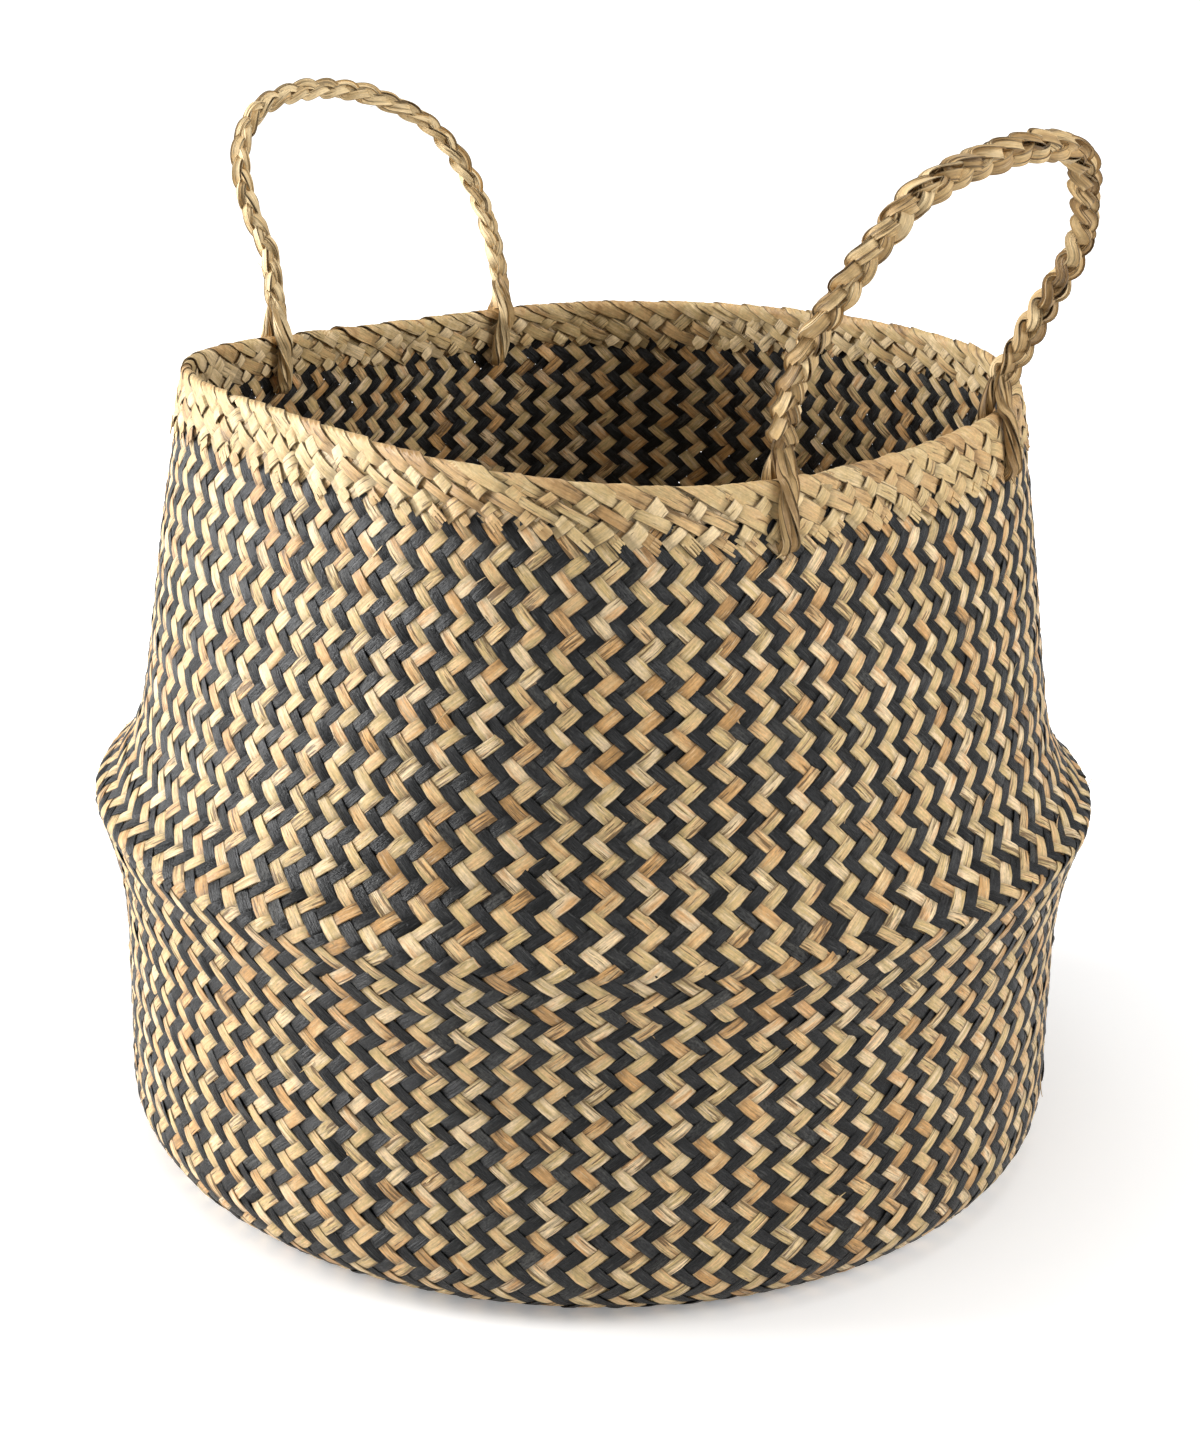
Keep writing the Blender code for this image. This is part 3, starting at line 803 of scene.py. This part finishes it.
def make_lashing(name, shape, foot, material):
    """Strands that leave the braid's foot, straddle the rim and meet through a hole in the wall."""
    middle, half, axis, lean = handle_frame(shape)
    pivot = middle + axis * (half if foot else -half)
    turn = (shape["feet"][foot] - CORNER_ANGLE) / math.tau * STRIPS
    top, normal, rise = (value[0] for value in wall_frame(np.array([turn]), np.array([float(TOP_ROW)])))
    low = top - rise * (LASH_DROP - BAND_SKIN - LASH_RISE)
    braid_way = lean + axis * (0.25 if foot else -0.25)
    knot = pivot + braid_way * 8 * MM

    def leg(sign):
        """Points from the knot down one side of the wall: outside for 1, inside for -1."""
        away = normal * sign
        return [knot + away * 0.5 * MM,
                pivot + lean * 3.0 * MM + away * 1.3 * MM,
                top + rise * 4.0 * MM + away * 3.4 * MM,
                top - rise * 1.0 * MM + away * LASH_STANDING,
                top - rise * 9 * MM + away * LASH_STANDING,
                top - rise * 17 * MM + away * (LASH_STANDING - 0.4 * MM),
                low + rise * 2.4 * MM + away * (LASH_STANDING - 0.5 * MM)]

    through_wall = [low + normal * 1.6 * MM, low - normal * 1.6 * MM]
    route = catmull(leg(1) + through_wall + leg(-1)[::-1], ROPE_STEP)
    count = len(route)
    tangents = unit(np.gradient(route, axis=0))
    around = np.cross(normal, rise)
    side = unit(around - (tangents @ around)[:, None] * tangents)
    face = np.cross(side, tangents)
    length = np.arange(count) * ROPE_STEP
    through = np.abs(length - length[-1] / 2)
    ends = length[-1] / 2 - through
    gather = (0.60 + 0.40 * smoothstep(through / (4 * MM))) * (0.25 + 0.75 * smoothstep(ends / (9 * MM)))
    sheaf = Sheaf()
    for strand in range(ROPE_STRANDS):
        phase = math.tau * strand / ROPE_STRANDS + 0.5 + length / (9 * MM)
        centres = (route + (LASH_SWAY * gather * np.cos(phase))[:, None] * side
                   + (LASH_DIP * gather * np.sin(phase))[:, None] * face)
        radius = LASH_STRAND * gather * (1 + 0.12 * np.sin(length / (5 * MM) + 3 * strand + foot))
        add_strand(sheaf, centres, side, length, radius, LASH_COVER, LASH_FLAT, length / (10 * MM),
                   shape["tone"] - LASH_DARKER, 1.7 * strand + 2 * foot)
    for _ in range(LASH_WISPS):
        tip = low + rise * rng.uniform(-0.5, 4.0) * MM + normal * rng.uniform(2.0, 4.2) * MM
        tip = tip + around * rng.uniform(-1.8, 1.8) * MM
        way = -rise * rng.uniform(0.5, 1.0) + around * rng.uniform(-0.5, 0.5)
        way = way + normal * rng.uniform(-0.2, 0.3)
        add_wisp(sheaf, tip, way, normal * rng.uniform(-0.4, 0.3) + 0.05 * rise, rng.uniform(2.5, 5.0) * MM,
                 rng.uniform(0.5, 1.5) * MM, rng.random())
    return sheaf.make(name, [material]), pivot, rise


# Materials

class Shade:
    """Short names for building a material's nodes."""

    def __init__(self, name):
        self.material = bpy.data.materials.new(name)
        self.material.use_nodes = True
        self.tree = self.material.node_tree
        self.shader = self.tree.nodes["Principled BSDF"]

    def fill(self, node, values):
        """Link or set a node's inputs."""
        for key, value in dict(values).items():
            if isinstance(value, bpy.types.NodeSocket):
                self.tree.links.new(value, node.inputs[key])
            else:
                node.inputs[key].default_value = value

    def node(self, kind, values=(), **settings):
        made = self.tree.nodes.new("ShaderNode" + kind)
        for key, value in settings.items():
            setattr(made, key, value)
        self.fill(made, values)
        return made

    def math(self, operation, first, second=0.0):
        return self.node("Math", {0: first, 1: second}, operation=operation).outputs[0]

    def mix(self, factor, first, second, blend="MIX"):
        return self.node("Mix", {0: factor, 6: first, 7: second}, data_type="RGBA",
                         blend_type=blend).outputs[2]

    def fade(self, value, limits, low=0.0):
        """Rise smoothly from low to 1 while the value goes from one limit to the other."""
        return self.node("MapRange", {"Value": value, "From Min": limits[0], "From Max": limits[1],
                                      "To Min": low}, interpolation_type="SMOOTHSTEP").outputs[0]

    def ramp(self, factor, stops):
        made = self.node("ValToRGB", {"Fac": factor})
        points = made.color_ramp.elements
        while len(points) < len(stops):
            points.new(0.5)
        for point, (place, colour) in zip(points, stops):
            point.position = place
            point.color = colour
        return made.outputs[0]

    def attribute(self, name):
        return self.node("Attribute", attribute_name=name)


def linear(red, green, blue):
    """A colour written as seen on screen, 0 to 255."""
    def one(value):
        value /= 255
        return value / 12.92 if value <= 0.04045 else ((value + 0.055) / 1.055) ** 2.4
    return (one(red), one(green), one(blue), 1)


# Grain of the dried blades: scale across and along the blade, detail and roughness
GRAINS = {
    "broad": (420, 60, 2, 0.55),
    "fine": (1500, 70, 4, 0.70),
    "dots": (1500, 800, 2, 0.60),
    "scuffs": (1300, 160, 3, 0.60),
    "splits": (900, 60, 3, 0.55),
}
SCUFF_LIMITS = (0.58, 0.68)
SPLIT_LIMITS = (0.255, 0.285)
# Share of the width across which painted shade darkens a blade's edge
EDGE_SHADE_LIMITS = (0.43, 0.48)


def grain(shade, name):
    """Noise drawn out along the blade."""
    across_scale, along_scale, detail, roughness = GRAINS[name]
    fibre = shade.attribute("fibre").outputs["Vector"]
    scaled = shade.node("VectorMath", {0: fibre, 1: (across_scale, along_scale, 1.0)},
                        operation="MULTIPLY").outputs[0]
    return shade.node("TexNoise", {"Vector": scaled, "Scale": 1.0, "Detail": detail,
                                   "Roughness": roughness}).outputs["Fac"]


def sedge_material(name, stops, pale, look):
    """Dried sedge: tone by blade, streaks, speckles, pale scuffs, fine dark splits, painted shade along blade
    edges and where a blade dives under, and a fibrous relief.
    """
    shade = Shade(name)
    tone = shade.attribute("tone").outputs["Fac"]
    place = shade.node("SeparateXYZ", {0: shade.attribute("place").outputs["Vector"]}).outputs
    wear = shade.math("ADD", place[2], 0.55)
    broad = shade.math("SUBTRACT", grain(shade, "broad"), 0.5)
    fine = shade.math("MULTIPLY", shade.math("SUBTRACT", grain(shade, "fine"), 0.5), wear)
    dots = shade.math("SUBTRACT", grain(shade, "dots"), 0.5)
    black, white = (0, 0, 0, 1), (1, 1, 1, 1)
    scuffs = shade.ramp(grain(shade, "scuffs"), list(zip(SCUFF_LIMITS, (black, white))))
    splits = shade.math("SUBTRACT", grain(shade, "splits"), shade.math("MULTIPLY", wear, 0.11))
    splits = shade.ramp(splits, list(zip(SPLIT_LIMITS, (white, black))))
    # Painted shade: darker along a blade's edges and where it dives under its neighbour, standing in for the
    # shade between blades
    edge = shade.fade(shade.math("ABSOLUTE", place[0]), EDGE_SHADE_LIMITS)
    shadow = shade.math("MAXIMUM", edge, shade.math("MULTIPLY", place[1], 0.45))
    shadow = shade.math("SUBTRACT", 1.0, shade.math("MULTIPLY", shadow, look["edges"]))

    colour = shade.ramp(shade.math("ADD", tone, shade.math("MULTIPLY", broad, 1.1)), stops)
    light = shade.math("ADD", 1.0, shade.math("MULTIPLY", fine, look["streaks"]))
    light = shade.math("ADD", light, shade.math("MULTIPLY", dots, look["speckles"]))
    colour = shade.mix(1.0, colour, light, "MULTIPLY")
    colour = shade.mix(shade.math("MULTIPLY", scuffs, look["scuffs"]), colour, pale)
    colour = shade.mix(1.0, colour, shadow, "MULTIPLY")
    split_tone = [0.36 * value for value in stops[0][1][:3]]
    colour = shade.mix(shade.math("MULTIPLY", splits, look["splits"]), colour, (*split_tone, 1))
    height = shade.math("ADD", shade.math("MULTIPLY", fine, 1.3), shade.math("MULTIPLY", dots, 0.5))
    height = shade.math("SUBTRACT", height, shade.math("MULTIPLY", splits, 0.5))
    bumped = shade.node("Bump", {"Height": height, "Strength": 1.0, "Distance": look["relief"] * MM})
    rough = shade.math("ADD", look["roughness"], shade.math("MULTIPLY", broad, 0.5))
    shade.fill(shade.shader, {
        "Base Color": colour, "Normal": bumped.outputs[0], "Roughness": rough,
        "Specular IOR Level": look["gloss"], "Sheen Weight": look["sheen"], "Sheen Roughness": 0.45})
    return shade.material


# Sedges: tone stops with colours as seen on screen, the colour of scuffs, and strengths, the fifth of which
# sets the painted shade at blade edges and dives; relief is in mm
STRENGTHS = ("streaks", "speckles", "scuffs", "splits", "edges", "relief", "roughness", "gloss", "sheen")
CREAM, GREY = (240, 218, 180), (84, 84, 82)
SEDGES = {
    "straw": ([(0.00, 174, 132, 78), (0.20, 205, 158, 100), (0.42, 221, 186, 134), (0.60, 199, 171, 115),
               (0.80, 235, 208, 166), (1.00, 211, 164, 110)],
              CREAM, (2.1, 0.7, 0.40, 0.85, 0.55, 0.34, 0.50, 0.42, 0.14)),
    "charcoal": ([(0.00, 8, 9, 10), (0.35, 17, 18, 19), (0.65, 31, 31, 32), (0.85, 45, 45, 44),
                  (1.00, 66, 65, 62)],
                 GREY, (3.0, 4.4, 0.50, 0.40, 0.60, 0.65, 0.40, 0.34, 0.0)),
    "band": ([(0.00, 174, 136, 87), (0.30, 209, 172, 119), (0.60, 204, 176, 123), (1.00, 238, 211, 165)],
             CREAM, (1.4, 0.6, 0.25, 0.75, 0.72, 0.28, 0.50, 0.40, 0.06)),
    "rope": ([(0.00, 150, 118, 74), (0.35, 188, 155, 104), (0.65, 211, 180, 128), (1.00, 236, 209, 160)],
             CREAM, (1.8, 0.5, 0.30, 0.68, 0.60, 0.32, 0.55, 0.40, 0.10)),
}


def make_materials():
    made = {}
    for name, (stops, pale, strengths) in SEDGES.items():
        stops = [(place, linear(*colour)) for place, *colour in stops]
        made[name] = sedge_material(name + "_sedge", stops, linear(*pale), dict(zip(STRENGTHS, strengths)))
    return made


# Studio

FLOOR_TONE = (0.93, 0.93, 0.93, 1)
FLOOR_FADE = (0.22, 0.70)
FLOOR_GLOW = 0.22
FLOOR_REACH = 6.0

# Soft boxes: azimuth in degrees, distance, height, size and power
LAMPS = [
    ("key", -139, 1.9, 0.60, 1.2, 61),
    ("side", 25, 1.9, 1.2, 1.0, 29),
    ("top", -75, 0.4, 2.0, 1.4, 13.5),
]
LAMP_AIM = (0, 0, 0.17)
SKY = 0.285

# The photograph's view, found by fitting the outline, the rim and the belly's ridge
CAMERA_PLACE = (0.7085, -0.7057, 0.5244)
CAMERA_LOOK = (-0.1332, 0.1332, -0.0673)
CAMERA_ROLL = math.radians(1.1675)
CAMERA_LENS = 78.84


def floor_material():
    """A white floor that keeps the shadow near the object and fades to plain white farther out."""
    shade = Shade("pale_floor")
    place = shade.node("TexCoord").outputs["Object"]
    distance = shade.node("VectorMath", {0: place}, operation="LENGTH").outputs["Value"]
    camera_ray = shade.node("LightPath").outputs["Is Camera Ray"]
    glow = shade.math("MULTIPLY", shade.fade(distance, FLOOR_FADE, FLOOR_GLOW), camera_ray)
    shade.fill(shade.shader, {"Base Color": FLOOR_TONE, "Roughness": 0.9, "Emission Strength": glow,
                              "Emission Color": (1, 1, 1, 1)})
    return shade.material


def make_studio():
    """The lamps, a pale floor, and a world that lights as SKY says and is plain white to the camera."""
    scene = bpy.context.scene
    scene.view_settings.view_transform = "Standard"
    world = bpy.data.worlds.new("studio")
    world.use_nodes = True
    scene.world = world
    tree = world.node_tree
    sky = tree.nodes["Background"]
    path = tree.nodes.new("ShaderNodeLightPath")
    plain = tree.nodes.new("ShaderNodeBackground")
    mix = tree.nodes.new("ShaderNodeMixShader")
    for background, strength in ((sky, SKY), (plain, 1.0)):
        background.inputs["Color"].default_value = (1, 1, 1, 1)
        background.inputs["Strength"].default_value = strength
    outputs = (path.outputs["Is Camera Ray"], sky.outputs[0], plain.outputs[0])
    for socket, output in zip(mix.inputs, outputs):
        tree.links.new(output, socket)
    tree.links.new(mix.outputs[0], tree.nodes["World Output"].inputs["Surface"])

    mesh = bpy.data.meshes.new("floor")
    corners = [(x * FLOOR_REACH, y * FLOOR_REACH, 0) for x, y in ((-1, -1), (1, -1), (1, 1), (-1, 1))]
    mesh.from_pydata(corners, [], [(0, 1, 2, 3)])
    floor = bpy.data.objects.new("floor", mesh)
    scene.collection.objects.link(floor)
    mesh.materials.append(floor_material())

    for name, azimuth, distance, height, size, power in LAMPS:
        lamp = bpy.data.lights.new(name, "AREA")
        lamp.energy = power
        lamp.size = size
        obj = bpy.data.objects.new(name, lamp)
        azimuth = math.radians(azimuth)
        obj.location = (distance * math.cos(azimuth), distance * math.sin(azimuth), height)
        aim = Vector(LAMP_AIM) - obj.location
        obj.rotation_euler = aim.to_track_quat("-Z", "Y").to_euler()
        scene.collection.objects.link(obj)


def make_camera():
    place = Vector(CAMERA_PLACE)
    look = Vector(CAMERA_LOOK).normalized()
    right = look.cross(Vector((0, 0, 1))).normalized()
    up = right.cross(look)
    turned = math.cos(CAMERA_ROLL) * right + math.sin(CAMERA_ROLL) * up
    up = -math.sin(CAMERA_ROLL) * right + math.cos(CAMERA_ROLL) * up
    camera_data = bpy.data.cameras.new("camera")
    camera_data.sensor_fit = "HORIZONTAL"
    camera_data.sensor_width = 36
    camera_data.lens = CAMERA_LENS
    camera = bpy.data.objects.new("camera", camera_data)
    camera.matrix_world = Matrix.Translation(place) @ Matrix((turned, up, -look)).transposed().to_4x4()
    bpy.context.scene.collection.objects.link(camera)
    bpy.context.scene.camera = camera


def build():
    make_camera()
    make_studio()
    materials = make_materials()
    plait = make_plait([materials["straw"], materials["charcoal"]])
    for piece in plait:
        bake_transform(piece)
    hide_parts("base_panel", "base_corner", "lower_wall", "belly_fold", "upper_wall")
    band = make_band(materials["band"])
    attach(band, "upper_basket")
    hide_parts("rim_band_outer", "rim_band_inner", "rim_edge")
    for hand, shape in HANDLES.items():
        braid = make_braid(hand + "_braid", shape, materials["rope"])
        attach(braid, hand + "_handle")
        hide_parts(hand + "_handle")
        for foot, word in enumerate(("first", "second")):
            name = f"{hand}_{word}_lashing"
            lashing, pivot, rise = make_lashing(name + "_blades", shape, foot, materials["rope"])
            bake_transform(lashing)
            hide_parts(name)


build()
